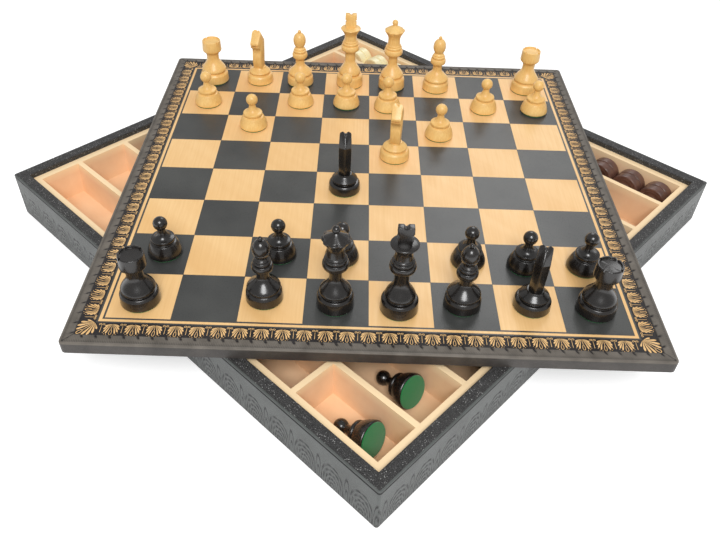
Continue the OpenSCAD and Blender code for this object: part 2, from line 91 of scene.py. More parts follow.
# Camera, solved from the board's grid, in squares from the board's centre
FOCAL_PX = 719.5
PRINCIPAL_PX = (347.5, 263.9)
PHOTO_PX = (720, 551)
CAMERA_SQUARES = (-0.3135, -11.4495, 7.9989)
CAMERA_TURN = (0.8348, -0.0217, 0.0238)


def make_camera():
    data = bpy.data.cameras.new("camera")
    data.sensor_width = 36
    data.lens = FOCAL_PX * data.sensor_width / PHOTO_PX[0]
    data.shift_x = (PHOTO_PX[0] / 2 - PRINCIPAL_PX[0]) / PHOTO_PX[0]
    data.shift_y = (PRINCIPAL_PX[1] - PHOTO_PX[1] / 2) / PHOTO_PX[0]
    data.clip_end = 20
    camera = bpy.data.objects.new("camera", data)
    bpy.context.collection.objects.link(camera)
    rx, ry, rz = CAMERA_TURN
    turn = Matrix.Rotation(rz, 4, "Z") @ Matrix.Rotation(ry, 4, "Y") @ Matrix.Rotation(rx, 4, "X")
    place = Matrix.Translation(Vector(CAMERA_SQUARES) * SQUARE * MM)
    camera.matrix_world = board_to_row @ place @ turn
    bpy.context.scene.camera = camera


# Mesh helpers
def mesh_object(name, verts, faces, material, sharp=35.0):
    mesh = bpy.data.meshes.new(name)
    mesh.from_pydata([tuple(v) for v in verts], [], [tuple(int(i) for i in f) for f in faces])
    mesh.validate()
    return wrap(name, mesh, material, sharp)


def wrap(name, mesh, material, sharp=35.0):
    mesh.materials.clear()
    mesh.materials.append(material)
    mesh.shade_smooth()
    mesh.set_sharp_from_angle(angle=math.radians(sharp))
    obj = bpy.data.objects.new(name, mesh)
    bpy.context.collection.objects.link(obj)
    return obj


def merged(obj, distance=0.002):
    """Joins the points of a mesh that lie on each other and turns its faces outwards."""
    bm = bmesh.new()
    bm.from_mesh(obj.data)
    bmesh.ops.remove_doubles(bm, verts=bm.verts, dist=distance * MM)
    bmesh.ops.dissolve_degenerate(bm, edges=bm.edges, dist=0.5 * distance * MM)
    bmesh.ops.recalc_face_normals(bm, faces=bm.faces)
    bm.to_mesh(obj.data)
    bm.free()
    return obj


def grid_faces(rows, columns, wrap_columns=False):
    last = columns if wrap_columns else columns - 1
    r, c = np.meshgrid(np.arange(rows - 1), np.arange(last), indexing="ij")
    n = (c + 1) % columns
    return np.stack([r * columns + c, r * columns + n, (r + 1) * columns + n, (r + 1) * columns + c],
                    axis=-1).reshape(-1, 4)


def modifier(obj, kind, **values):
    mod = obj.modifiers.new(kind.lower(), kind)
    for key, value in values.items():
        setattr(mod, key, value)
    return mod


def apply_modifiers(obj):
    graph = bpy.context.evaluated_depsgraph_get()
    mesh = bpy.data.meshes.new_from_object(obj.evaluated_get(graph))
    obj.modifiers.clear()
    obj.data = mesh


# Shader helpers
class Nodes:
    """A material's nodes, with short calls to add and link them."""

    def __init__(self, name):
        self.material = bpy.data.materials.new(name)
        self.material.use_nodes = True
        self.tree = self.material.node_tree
        self.shader = self.tree.nodes["Principled BSDF"]
        self.place = self.add("ShaderNodeTexCoord").outputs["Object"]

    def add(self, kind, settings=None, **inputs):
        node = self.tree.nodes.new(kind)
        for key, value in (settings or {}).items():
            setattr(node, key, value)
        for key, value in inputs.items():
            self.put(node.inputs[key.replace("_", " ")], value)
        return node

    def put(self, socket, value):
        if isinstance(value, bpy.types.NodeSocket):
            self.tree.links.new(value, socket)
        else:
            socket.default_value = value

    def math(self, operation, a, b=None, clamp=False):
        node = self.tree.nodes.new("ShaderNodeMath")
        node.operation = operation
        node.use_clamp = clamp
        self.put(node.inputs[0], a)
        if b is not None:
            self.put(node.inputs[1], b)
        return node.outputs[0]

    def mix(self, fac, a, b):
        node = self.add("ShaderNodeMix", {"data_type": "RGBA"})
        self.put(node.inputs["Factor"], fac)
        self.put(node.inputs["A"], a)
        self.put(node.inputs["B"], b)
        return node.outputs["Result"]

    def ramp(self, value, low, high, to_low=0.0, to_high=1.0):
        node = self.add("ShaderNodeMapRange", From_Min=low, From_Max=high, To_Min=to_low, To_Max=to_high)
        self.put(node.inputs["Value"], value)
        return node.outputs["Result"]

    def noise(self, size_mm, detail=3.0, rough=0.5, place=None):
        node = self.add("ShaderNodeTexNoise", Scale=1 / (size_mm * MM), Detail=detail, Roughness=rough)
        self.put(node.inputs["Vector"], self.place if place is None else place)
        return node.outputs["Fac"]

    def cells(self, size_mm, feature="F1"):
        node = self.add("ShaderNodeTexVoronoi", {"feature": feature}, Scale=1 / (size_mm * MM))
        self.put(node.inputs["Vector"], self.place)
        return node.outputs["Distance"]

    def stretched(self, x=1.0, y=1.0, z=1.0, turn=0.0, place=None):
        node = self.add("ShaderNodeMapping")
        self.put(node.inputs["Vector"], self.place if place is None else place)
        node.inputs["Scale"].default_value = (x, y, z)
        node.inputs["Rotation"].default_value = (0, 0, turn)
        return node.outputs["Vector"]

    def bump(self, height, depth_mm, strength=1.0):
        node = self.add("ShaderNodeBump", Distance=depth_mm * MM, Strength=strength)
        self.put(node.inputs["Height"], height)
        self.tree.links.new(node.outputs["Normal"], self.shader.inputs["Normal"])

    def colour(self, value):
        self.put(self.shader.inputs["Base Color"], value)

    def finish(self, roughness, specular=0.5, **others):
        self.put(self.shader.inputs["Roughness"], roughness)
        self.shader.inputs["Specular IOR Level"].default_value = specular
        for key, value in others.items():
            self.shader.inputs[key.replace("_", " ")].default_value = value
        return self.material


def rgb(red, green, blue):
    """A colour as it is seen, 0 to 255, as the linear values that shaders take."""
    seen = [c / 255 for c in (red, green, blue)]
    linear = [c / 12.92 if c <= 10 / 255 else ((c + 0.055) / 1.055) ** 2.4 for c in seen]
    return (*linear, 1.0)


# Materials
def embossed_sides():
    """Leatherette pressed with a row of arches, each a nest of leaf tips, and a narrow stem between two."""
    n = Nodes("box_embossed_leatherette")
    pitch, foot, reach_x, reach_z, front_shift = 20.0, 2.5, 7.7, 18.4, 4.3
    axes = n.add("ShaderNodeSeparateXYZ")
    n.put(axes.inputs[0], n.place)
    x, y, z = (n.math("MULTIPLY", axes.outputs[a], 1000.0) for a in "XYZ")
    front = n.math("GREATER_THAN", n.math("ABSOLUTE", y), n.math("ABSOLUTE", x))
    s = n.math("ADD", n.math("MULTIPLY", n.math("SUBTRACT", x, front_shift), front),
               n.math("MULTIPLY", y, n.math("SUBTRACT", 1.0, front)))
    u = n.math("SUBTRACT", n.math("FLOORED_MODULO", n.math("ADD", s, pitch / 2), pitch), pitch / 2)
    side = n.math("ABSOLUTE", u)
    v = n.math("DIVIDE", n.math("SUBTRACT", z, foot), reach_z)

    def length(a, b, p):
        powers = [n.math("POWER", n.math("ABSOLUTE", value), p) for value in (a, b)]
        return n.math("POWER", n.math("ADD", *powers), 1 / p)

    def lines(value, count, width):
        """1 on the value's count level lines."""
        part = n.math("FRACT", n.math("ADD", n.math("MULTIPLY", value, float(count)), 0.5))
        return n.ramp(n.math("ABSOLUTE", n.math("SUBTRACT", part, 0.5)), width, width * 0.35)

    nest = length(n.math("DIVIDE", side, reach_x), v, 2.5)
    angle = n.math("ARCTAN2", n.math("DIVIDE", side, reach_x), v)
    shift = n.math("MULTIPLY", n.math("ROUND", n.math("MULTIPLY", nest, 5.0)), 3.14)
    wave = n.math("COSINE", n.math("ADD", n.math("MULTIPLY", angle, 11.0), shift))
    lobes = n.math("ADD", n.math("MULTIPLY", wave, 0.4), 0.75)
    arches = n.math("MULTIPLY", n.math("MULTIPLY", lines(nest, 5, 0.36), lobes), n.ramp(nest, 1.08, 1.05))
    stem = length(n.math("DIVIDE", n.math("SUBTRACT", side, pitch / 2), 2.0), v, 2.0)
    within = n.math("MULTIPLY", n.ramp(stem, 1.15, 1.1), n.ramp(nest, 1.1, 1.13))
    stems = n.math("MULTIPLY", lines(stem, 2, 0.2), within)
    pressed = n.math("MULTIPLY", n.math("MAXIMUM", arches, stems), n.ramp(z, 1.0, 2.0), clamp=True)
    # The pressed lines are painted near black as painted shade in their grooves; noise fades them at random
    pressed_grooves_with_shade = n.math("MULTIPLY", pressed, n.ramp(n.noise(6, 3), 0.3, 0.55, 0.6, 1.0))
    grain = n.cells(0.5, "DISTANCE_TO_EDGE")
    fine = n.noise(0.25, 4)
    base = n.mix(n.ramp(n.noise(16, 3), 0.3, 0.7), rgb(74, 77, 75), rgb(90, 94, 92))
    # Painted shade: a near-black line along the crease where the rim's leatherette is folded over the side
    fold = n.ramp(n.math("ABSOLUTE", n.math("SUBTRACT", z, fold_z)), 1.1, 0.6)
    n.colour(n.mix(n.math("MAXIMUM", pressed_grooves_with_shade, fold), base, rgb(11, 11, 11)))
    leather = n.math("ADD", n.ramp(grain, 0, 0.2, 0, 0.04), n.math("MULTIPLY", fine, 0.05))
    n.bump(n.math("SUBTRACT", leather, pressed_grooves_with_shade), 0.8)
    return n.finish(n.ramp(fine, 0.3, 0.7, 0.36, 0.5), 0.5)


def embossed_edge():
    """The lid's leatherette: what stands up keeps its light grey-brown, and what lies low is dark, partly the
    dark ground of the gilt band and partly painted shade between the raised leaves.
    """
    n = Nodes("lid_embossed_leatherette")
    axes = n.add("ShaderNodeSeparateXYZ")
    n.put(axes.inputs[0], n.place)
    x, y, z = (n.math("MULTIPLY", axes.outputs[a], 1000.0) for a in "XYZ")
    out = n.math("MAXIMUM", n.math("ABSOLUTE", x), n.math("ABSOLUTE", y))
    raised = n.math("MAXIMUM", n.ramp(z, 0.06, 0.6), n.ramp(out, lid_half - 1.9, lid_half - 1.3))
    fine = n.noise(0.3, 4)
    cloud = n.ramp(n.noise(9, 3), 0.3, 0.7)
    light = n.mix(cloud, rgb(94, 88, 80), rgb(120, 113, 104))
    # Painted shade: the low places between the raised leaves are painted dark; on the flat gilt band the same
    # dark is its own ground
    top = n.mix(raised, n.mix(fine, rgb(22, 19, 20), rgb(38, 33, 34)), light)
    n.colour(n.mix(n.ramp(z, -0.3, -0.9), top, n.mix(cloud, rgb(58, 54, 51), rgb(76, 71, 67))))
    grain = n.ramp(n.cells(0.45, "DISTANCE_TO_EDGE"), 0, 0.2)
    n.bump(n.math("ADD", grain, n.math("MULTIPLY", fine, 0.6)), 0.04)
    return n.finish(n.ramp(fine, 0.3, 0.7, 0.4, 0.52), 0.5)


def pebbled_rim_painted_glints():
    n = Nodes("rim_pebbled_leatherette")
    pebbles = n.cells(0.75, "F1")
    edges = n.cells(0.75, "DISTANCE_TO_EDGE")
    fine = n.noise(0.35, 4)
    # Painted highlight: small light flecks on the pebbles' tops stand in for the glints they catch
    painted_glints = n.math("MULTIPLY", n.ramp(n.cells(1.0, "F1"), 0.26, 0.14), n.ramp(n.noise(2.5, 2), 0.46, 0.56))
    # Painted shade: the crevices between the pebbles are darker than the pebbles' tops
    base = n.mix(n.ramp(edges, 0.02, 0.2), rgb(24, 24, 24), rgb(70, 69, 69))
    n.colour(n.mix(n.math("MULTIPLY", painted_glints, 0.85), base, rgb(205, 205, 202)))
    n.bump(n.math("ADD", n.ramp(pebbles, 0.1, 0.6, 1, 0), n.math("MULTIPLY", fine, 0.3)), 0.35)
    return n.finish(n.ramp(fine, 0.3, 0.7, 0.34, 0.5), 0.5)


def board_dark():
    n = Nodes("board_dark_leatherette")
    grain = n.cells(0.5, "DISTANCE_TO_EDGE")
    cloud = n.noise(30, 2)
    fine = n.noise(0.4, 3)
    n.colour(n.mix(n.ramp(cloud, 0.3, 0.7), rgb(60, 61, 60), rgb(74, 75, 73)))
    n.bump(n.math("ADD", n.ramp(grain, 0, 0.25, 0, 0.5), fine), 0.018)
    return n.finish(n.ramp(fine, 0.3, 0.7, 0.26, 0.36), 0.5)


def gilt():
    n = Nodes("gilt_foil_satin")
    along = n.stretched(1 / 22, 1, 1, -LID_TURN)
    streak = n.noise(1.1, 3, place=n.stretched(1, 0.04, 1, 0, place=n.stretched(turn=-LID_TURN)))
    cloud = n.noise(26, 3, place=along)
    warm = n.mix(n.ramp(cloud, 0.3, 0.7), rgb(238, 190, 125), rgb(250, 208, 148))
    n.colour(n.mix(n.ramp(streak, 0.35, 0.75, 0, 0.35), warm, rgb(228, 178, 112)))
    n.bump(n.noise(0.5, 3), 0.012)
    return n.finish(n.ramp(streak, 0.3, 0.7, 0.3, 0.4), 0.45)


def tray_material():
    n = Nodes("tray_cream_flock")
    fine = n.noise(0.35, 4)
    cloud = n.noise(14, 3)
    up = n.add("ShaderNodeSeparateXYZ")
    n.put(up.inputs[0], n.place)
    # The flange is painted lighter than the walls and floor below it: painted light on the top face and
    # painted shade down in the compartments
    height = n.ramp(up.outputs["Z"], flange_z * MM - 0.006, flange_z * MM)
    inside_with_painted_shade = n.mix(n.ramp(cloud, 0.3, 0.7), rgb(240, 197, 154), rgb(247, 207, 166))
    n.colour(n.mix(height, inside_with_painted_shade, rgb(255, 225, 180)))
    n.bump(n.math("ADD", fine, n.math("MULTIPLY", n.noise(2.5, 2), 0.6)), 0.04)
    return n.finish(n.ramp(fine, 0.3, 0.7, 0.5, 0.65), 0.35, Sheen_Weight=0.15, Sheen_Roughness=0.4)


def wood(name, dark, light, grain_mm, roughness, specular, coat):
    """Turned wood: long grain along the piece's own height, with pores."""
    n = Nodes(name)
    lengthways = n.stretched(1, 1, 0.08)
    grain = n.noise(grain_mm, 5, 0.6, place=lengthways)
    pores = n.ramp(n.noise(grain_mm * 0.35, 2, place=lengthways), 0.55, 0.72)
    cloud = n.noise(9, 2)
    tone = n.math("ADD", n.math("MULTIPLY", grain, 0.5), n.math("MULTIPLY", cloud, 0.5))
    n.colour(n.mix(n.math("MULTIPLY", pores, 0.25), n.mix(n.ramp(tone, 0.35, 0.65), dark, light), dark))
    n.bump(n.math("ADD", grain, n.math("MULTIPLY", n.noise(4, 2), 1.5)), 0.02)
    material = n.finish(n.ramp(grain, 0.3, 0.7, roughness - 0.03, roughness + 0.05), specular)
    n.shader.inputs["Coat Weight"].default_value = coat
    n.shader.inputs["Coat Roughness"].default_value = 0.12
    return material


def felt():
    n = Nodes("green_felt")
    fibres = n.noise(0.3, 5, 0.7)
    n.colour(n.mix(n.ramp(fibres, 0.3, 0.7), rgb(0, 98, 42), rgb(6, 136, 66)))
    n.bump(fibres, 0.12)
    return n.finish(0.9, 0.2, Sheen_Weight=0.5, Sheen_Roughness=0.5)


def plain_paper(name, dark, light):
    n = Nodes(name)
    fine = n.noise(0.5, 5)
    n.colour(n.mix(fine, dark, light))
    n.bump(fine, 0.05)
    return n.finish(0.8, 0.3)


def timber(name):
    n = Nodes(name)
    grain = n.noise(1.6, 5, place=n.stretched(0.06, 0.06, 1))
    n.colour(n.mix(n.ramp(grain, 0.3, 0.7), rgb(150, 118, 82), rgb(206, 172, 128)))
    n.bump(grain, 0.06)
    return n.finish(0.6, 0.3)


MATERIALS = {
    "side": embossed_sides(),
    "rim": pebbled_rim_painted_glints(),
    "edge": embossed_edge(),
    "board": board_dark(),
    "gilt": gilt(),
    "tray": tray_material(),
    "black": wood("ebonised_gloss_wood", rgb(12, 10, 9), rgb(30, 25, 22), 0.5, 0.26, 0.6, coat=0.35),
    "white": wood("boxwood_satin", rgb(233, 182, 104), rgb(253, 213, 138), 0.6, 0.36, 0.45, coat=0.15),
    "dark_draught": wood("dark_draught_wood", rgb(72, 46, 38), rgb(116, 80, 66), 0.5, 0.34, 0.5, coat=0.2),
    "cream_draught": wood("cream_draught_wood", rgb(242, 226, 172), rgb(255, 246, 204), 0.7, 0.36, 0.5,
                          coat=0.2),
    "felt": felt(),
    "paper": plain_paper("black_lining_paper", rgb(22, 22, 22), rgb(44, 44, 43)),
    "timber": timber("box_timber"),
}


def dress(node, material):
    """Gives a CAD node that stays in sight its finish."""
    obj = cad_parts[node]
    obj.data.materials.clear()
    obj.data.materials.append(MATERIALS[material])


# Rounded square rings: the corners' arcs shrink to a mitre as the ring moves inwards
def ring_points(half, radius, offset, along, corner_steps):
    """Points of a rounded square drawn offset inwards, and their outward normals."""
    h = half - offset
    r = max(radius - offset, 0.0)
    side = h - r
    points, normals = [], []
    for k in range(4):
        a = k * math.pi / 2
        turn = np.array([[math.cos(a), -math.sin(a)], [math.sin(a), math.cos(a)]])
        for t in along:
            points.append(turn @ np.array([t * side, -h]))
            normals.append(turn @ np.array([0.0, -1.0]))
        for i in range(1, corner_steps):
            b = -math.pi / 2 + math.pi / 2 * i / corner_steps
            d = np.array([math.cos(b), math.sin(b)])
            points.append(turn @ (np.array([side, -side]) + r * d))
            normals.append(turn @ d)
    return np.array(points), np.array(normals)


def ring_sheet(name, half, radius, section, along, corner_steps, relief, material, sharp=60.0):
    """A sheet swept round a square. section is [(inset, z)]; relief(row, s) gives extra (inset, z) for
    the places s, in millimetres from the middle of a side, of that row."""
    rows = []
    for i, (inset, z) in enumerate(section):
        points, normals = ring_points(half, radius, inset, along, corner_steps)
        s = side_places(half, radius, inset, along, corner_steps)
        push, lift = relief(i, s)
        xy = points - normals * push[:, None]
        rows.append(np.column_stack([xy, z + lift]))
    verts = np.concatenate(rows) * MM
    faces = grid_faces(len(section), len(rows[0]), wrap_columns=True)
    return merged(mesh_object(name, verts, faces, material, sharp))


def side_places(half, radius, inset, along, corner_steps):
    h = half - inset
    side = h - max(radius - inset, 0.0)
    one = list(np.array(along) * side) + [h] * (corner_steps - 1)
    return np.array(one * 4)


def make_side_cover():
    """The sides' leatherette up to the line where the rim's leatherette is folded over it."""
    zs = [box_low[2] + d for d in (0, 0.3, 0.6, 1, 2)] + list(np.linspace(box_low[2] + 4, fold_z - 2, 8))
    zs += [fold_z + d for d in np.linspace(-0.9, 0.9, 25)]
    section = [(0.0, z) for z in zs]
    section += [(0.0, rim_z - 0.5), (0.15, rim_z - 0.2), (0.4, rim_z - 0.06), (1.0, rim_z)]

    def relief(i, s):
        z = section[i][1]
        push = 0.25 * max(0.0, 1 - (z - box_low[2]) / 0.6) + 0.6 * math.exp(-((z - fold_z) / 0.24) ** 2)
        return np.full_like(s, push if i < len(zs) else 0.0), np.zeros_like(s)

    along = np.linspace(-1, 1, 40)
    cover = ring_sheet("side_cover_embossed", box_half, BOX_CORNER_R, section, along, 6, relief,
                       MATERIALS["side"], 30)
    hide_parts("side_cover")
    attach(cover, "box")


def make_rim_cover():
    """The leatherette over the rim, rounded into the recess and down to the tray."""
    inner = box_half - recess_half
    edge_r = 0.8
    section = [(1.0, rim_z - 0.3), (1.0, rim_z)]
    section += [(inset, rim_z) for inset in np.linspace(1.3, inner - edge_r, 12)]
    section += [(inner - edge_r + edge_r * math.sin(a), rim_z - edge_r + edge_r * math.cos(a))
                for a in np.radians([22, 45, 67, 90])]
    section += [(inner, z) for z in np.linspace(rim_z - 1.2, flange_z + 0.02, 4)]

    def relief(i, s):
        return np.zeros_like(s), np.zeros_like(s)

    along = np.linspace(-1, 1, 60)
    rim = ring_sheet("rim_cover_pebbled", box_half, BOX_CORNER_R, section, along, 6, relief,
                     MATERIALS["rim"], 40)
    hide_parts("rim_cover")
    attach(rim, "box")


# Tray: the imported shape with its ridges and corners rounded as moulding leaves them
def make_tray():
    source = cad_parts["tray"]
    mesh = source.data.copy()
    bm = bmesh.new()
    bm.from_mesh(mesh)
    bmesh.ops.remove_doubles(bm, verts=bm.verts, dist=0.001 * MM)
    bmesh.ops.dissolve_limit(bm, angle_limit=math.radians(1), verts=bm.verts, edges=bm.edges)
    above = (box_mm("tray")[0][2] + 0.5) * MM
    outer = (recess_half + 0.2) * MM
    inside = [e for e in bm.edges if e.calc_face_angle(0) > 0.3 and min(v.co.z for v in e.verts) > above
              and not all(max(abs(v.co.x), abs(v.co.y)) > outer for v in e.verts)]
    bmesh.ops.bevel(bm, geom=inside, offset=1.25 * MM, segments=5, profile=0.5, affect="EDGES",
                    clamp_overlap=True)
    bm.to_mesh(mesh)
    bm.free()
    tray = wrap("tray_moulded", mesh, MATERIALS["tray"], 40)
    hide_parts("tray")
    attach(tray, "box")


# Lid
def on_board(obj):
    obj.matrix_world = board_to_row


def make_lid_border():
    """The border's leatherette: a straight side, a crowned band pressed with slanting leaves, then flat."""
    crown = EDGE_RISE
    top = core_top_z - board_z
    foot = lid_z - board_z
    section = [(0.0, foot), (0.0, foot + 2), (0.0, foot + 4), (0.0, top - 0.4)]
    section += [(0.6 * (1 - math.cos(a)), top + 0.1 + 0.7 * math.sin(a)) for a in np.radians([0, 30, 60, 90])]
    band = np.linspace(0.9, EDGE_W, 22)
    section += [(d, 0.0) for d in band] + [(d, 0.0) for d in np.linspace(EDGE_W + 0.4, lid_half - band_in, 4)]
    section += [(lid_half - band_in, top)]
    first = 8
    pitch = 7.6

    def relief(i, s):
        """Pointed leaves side by side, ribbed aslant, with deep eyes between their tips; u runs inwards."""
        none = np.zeros_like(s)
        if not first <= i < first + len(band):
            return none, none
        d = band[i - first]
        u = (d - 0.9) / (EDGE_W - 0.9)
        dome = crown * min(1, 0.55 + 1.1 * u)
        place = np.mod(s / pitch + 0.35 * u, 1.0)
        tip = np.clip((0.62 - 0.18 * u - np.abs(place - 0.5)) / 0.07, 0, 1)
        ribs = 0.5 + 0.5 * np.cos(2 * math.pi * (s / 1.27 + 2.6 * u))
        eye = np.exp(-((np.abs(place - 0.5) - 0.45) / 0.06) ** 2 - ((u - 0.76) / 0.15) ** 2)
        height = dome * (0.4 + 0.6 * tip) - 0.26 * ribs * (1 - 0.4 * u) - 0.45 * eye
        fade = min(u / 0.1, 1) * min((1 - u) / 0.08, 1)
        return none, np.clip(height, 0, crown) * fade * np.clip((lid_half - d - np.abs(s)) / 0.6, 0.3, 1)

    along = np.linspace(-1, 1, 1000)
    border = ring_sheet("lid_border_embossed", lid_half, LID_CORNER_R, section, along, 6, relief,
                        MATERIALS["edge"], 75)
    on_board(border)
    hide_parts("lid_border")
    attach(border, "lid")


# Gilt ornament: flat strips of foil drawn as curved strokes
class Foil:
    """Collects flat strokes, each a ribbon with its own widths, into one thin mesh."""

    def __init__(self):
        self.verts, self.faces = [], []

    def ribbon(self, points, widths):
        p = np.array(points, dtype=float)
        d = np.gradient(p, axis=0)
        d /= np.maximum(np.linalg.norm(d, axis=1), 1e-9)[:, None]
        side = np.stack([-d[:, 1], d[:, 0]], axis=-1) * (np.array(widths) / 2)[:, None]
        base = len(self.verts)
        for a, b in zip(p + side, p - side):
            self.verts += [(a[0], a[1]), (b[0], b[1])]
        for i in range(len(p) - 1):
            self.faces.append((base + 2 * i, base + 2 * i + 1, base + 2 * i + 3, base + 2 * i + 2))

    def dot(self, x, y, r, n=10):
        base = len(self.verts)
        self.verts += [(x + r * math.cos(2 * math.pi * i / n), y + r * math.sin(2 * math.pi * i / n))
                       for i in range(n)]
        self.faces.append(tuple(range(base, base + n)))


def leaf(foil, root, angle, length, width, bend):
    """A leaf from its root: it stays narrow at first and widens to a rounded tip."""
    t = np.array([0, 0.2, 0.4, 0.55, 0.7, 0.8, 0.88, 0.94, 0.98, 1.0])
    a = angle + bend * t[:-1]
    steps = np.stack([np.sin(a), np.cos(a)], axis=-1) * (length * np.diff(t))[:, None]
    points = np.array(root) + np.concatenate([[[0, 0]], np.cumsum(steps, axis=0)])
    tip = np.clip((t - 0.8) / 0.2, 0, 1)
    wide = 0.08 + 0.92 * np.minimum(t / 0.8, 1) ** 1.3
    foil.ribbon(points, width * wide * np.sqrt(np.maximum(1 - tip ** 2, 0.01)))


def drop(foil, low, high, half, width):
    """A drop drawn as a line, round at its outer end."""
    loop = [(half * math.sin(a) * (0.35 + 0.65 * math.sin(a / 2)), low + (high - low) * (1 - math.cos(a)) / 2)
            for a in np.linspace(0.1, 2 * math.pi - 0.1, 26)]
    foil.ribbon(loop, [width] * len(loop))


def palmette(foil):
    """A fan of leaves that opens towards the lid's edge; y is outwards from the gilt line."""
    fan = ((27, 7.7, 0.9, -19), (45, 7.1, 1.0, -30), (65, 5.8, 1.05, -42), (86, 4.3, 0.95, -46))
    for degrees, length, width, bend in fan:
        for sign in (1, -1):
            leaf(foil, (0.0, 1.2), math.radians(sign * degrees), length, width, math.radians(sign * bend))
    foil.ribbon([(0, 1.2), (0, 3), (0, 5.4)], [0.16, 0.3, 0.22])
    drop(foil, 5.2, 9.2, 0.85, 0.3)
    for x, y in ((1.9, 9.25), (3.2, 8.7), (4.1, 7.6)):
        foil.dot(x, y, 0.24)
        foil.dot(-x, y, 0.24)


def volutes(foil):
    """The stem between two fans: a thin post that parts into two scrolls under the gilt line."""
    foil.ribbon([(0, 7.6), (0, 4.5), (0, 1.9)], [0.26, 0.26, 0.34])
    for sign in (1, -1):
        arc = [(sign * 1.05 * (1 - math.cos(a)), 1.9 - 1.15 * math.sin(a)) for a in np.linspace(0, 1.4, 6)]
        x, y = arc[-1]
        roll = [(x + sign * 0.85 * math.sin(b) * (1 - b / 8), y + 0.8 * (1 - math.cos(b)) * (1 - b / 9))
                for b in np.linspace(0.3, 4.6, 12)]
        foil.ribbon(arc + roll, np.linspace(0.36, 0.24, 18))


def corner_palmette(foil):
    """The big palmette on each corner's diagonal, round a drop."""
    for degrees, length, width, bend in ((17, 10.2, 1.35, -4), (34, 9.3, 1.45, -7), (53, 7.7, 1.35, -10),
                                         (76, 5.0, 1.05, -14)):
        for sign in (1, -1):
            leaf(foil, (0, 0.5), math.radians(sign * degrees), length, width, math.radians(sign * bend))
    foil.ribbon([(0, 0.5), (0, 5), (0, 8.2)], [0.2, 0.4, 0.3])
    drop(foil, 7.8, 11.8, 1.1, 0.42)


def make_palmettes():
    foil_rise = 0.04
    band_w = lid_half - EDGE_W - band_in
    count = 25
    start = 3.9 - band_in
    pitch = -2 * start / count
    verts, faces = [], []

    def stamp(source, matrix):
        base = len(verts)
        for x, y in source.verts:
            p = matrix @ Vector((x, y, 0))
            verts.append((p.x, p.y, foil_rise))
        faces.extend(tuple(base + i for i in f) for f in source.faces)

    fan, post, corner = Foil(), Foil(), Foil()
    palmette(fan)
    volutes(post)
    corner_palmette(corner)
    squeeze = Matrix.Scale(band_w / 9.7, 4, (0, 1, 0))
    for k in range(4):
        side = Matrix.Rotation(k * math.pi / 2, 4, "Z") @ Matrix.Scale(-1, 4, (0, 1, 0))
        for i in range(count + 1):
            x = start + i * pitch
            stamp(post, side @ Matrix.Translation((x, band_in, 0)) @ squeeze)
            if i < count:
                stamp(fan, side @ Matrix.Translation((x + pitch / 2, band_in, 0)) @ squeeze)
        diagonal = side @ Matrix.Translation((band_in, band_in, 0)) @ Matrix.Rotation(-math.pi / 4, 4, "Z")
        stamp(corner, diagonal)
    flat = np.array(verts) * MM
    band = mesh_object("gilt_palmette_band", flat, faces, MATERIALS["gilt"])
    bm = bmesh.new()
    bm.from_mesh(band.data)
    for f in bm.faces:
        f.normal_update()
        if f.normal.z < 0:
            f.normal_flip()
    bm.to_mesh(band.data)
    bm.free()
    modifier(band, "SOLIDIFY", thickness=0.03 * MM, offset=-1)
    on_board(band)
    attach(band, "lid")


# Turned outlines, as (radius, height) in millimetres
def hollow(a, b, n=12):
    return [(b[0] + (a[0] - b[0]) * (1 - math.sin(t)), a[1] + (b[1] - a[1]) * (1 - math.cos(t)))
            for t in np.radians(90 * np.arange(1, n + 1) / n)]


def slope(a, b, n=12):
    return [(a[0] + (b[0] - a[0]) * u ** 1.6, a[1] + (b[1] - a[1]) * u) for u in np.arange(1, n + 1) / n]


def bell(a, b, n=22):
    return [(b[0] + (a[0] - b[0]) * (1 + math.cos(math.pi * u ** 0.85)) / 2, a[1] + (b[1] - a[1]) * u)
            for u in np.arange(1, n + 1) / n]


def ball(z, r, neck_r, n=22):
    start = -math.acos(neck_r / r)
    return [(max(r * math.cos(t), 0.0), z + r * math.sin(t)) for t in np.linspace(start, math.pi / 2, n)]


GROOVE_H = 1.0


def shoulder(h, s):
    return s, h + GROOVE_H + 0.8


def drum(r, h, s):
    """A drum of radius r with its eased top edge, then a groove and the edge of a shoulder of radius s."""
    return [(0, WOOD_Z), (r - 0.5, WOOD_Z), (r, WOOD_Z + 0.5), (r - 0.4, h - 1.5), (r - 1.3, h - 0.2),
            (s - 0.6, h), (s - 0.9, h + 0.1), (s - 0.9, h + GROOVE_H), (s - 0.3, h + GROOVE_H),
            shoulder(h, s)]


def ring(r, z, w, h):
    return [(r - w + w * math.cos(t), z + h * math.sin(t)) for t in np.radians(np.arange(-60, 61, 12))]


def collar(neck_r, r, z):
    return ([(neck_r, z), (r - 2, z + 0.5), (r - 1.7, z + 1.3)] + ring(r, z + 3.8, 1.2, 2.4)
            + [(r - 1.5, z + 6.1)] + ring(r - 0.9, z + 7.2, 0.7, 1) + ring(r - 1.7, z + 8.9, 0.5, 0.6)
            + [(r - 2.4, z + 9.7)])


def fillet(points, radius=0.28):
    """Rounds each sharp corner of an outline a little, as a turner's sandpaper does."""
    out = [points[0]]
    for a, b, c in zip(points, points[1:], points[2:]):
        a, b, c = np.array(a), np.array(b), np.array(c)
        u, v = a - b, c - b
        lu, lv = np.linalg.norm(u), np.linalg.norm(v)
        if min(lu, lv) < 1e-6:
            continue
        if np.dot(u, v) / (lu * lv) < -0.97:
            out.append(tuple(b))
            continue
        cut = min(radius, 0.45 * lu, 0.45 * lv)
        p, q = b + u / lu * cut, b + v / lv * cut
        out += [tuple((1 - t) ** 2 * p + 2 * t * (1 - t) * b + t * t * q) for t in (0, 0.33, 0.67, 1)]
    out.append(points[-1])
    return [(max(r, 0.0), z) for r, z in out]


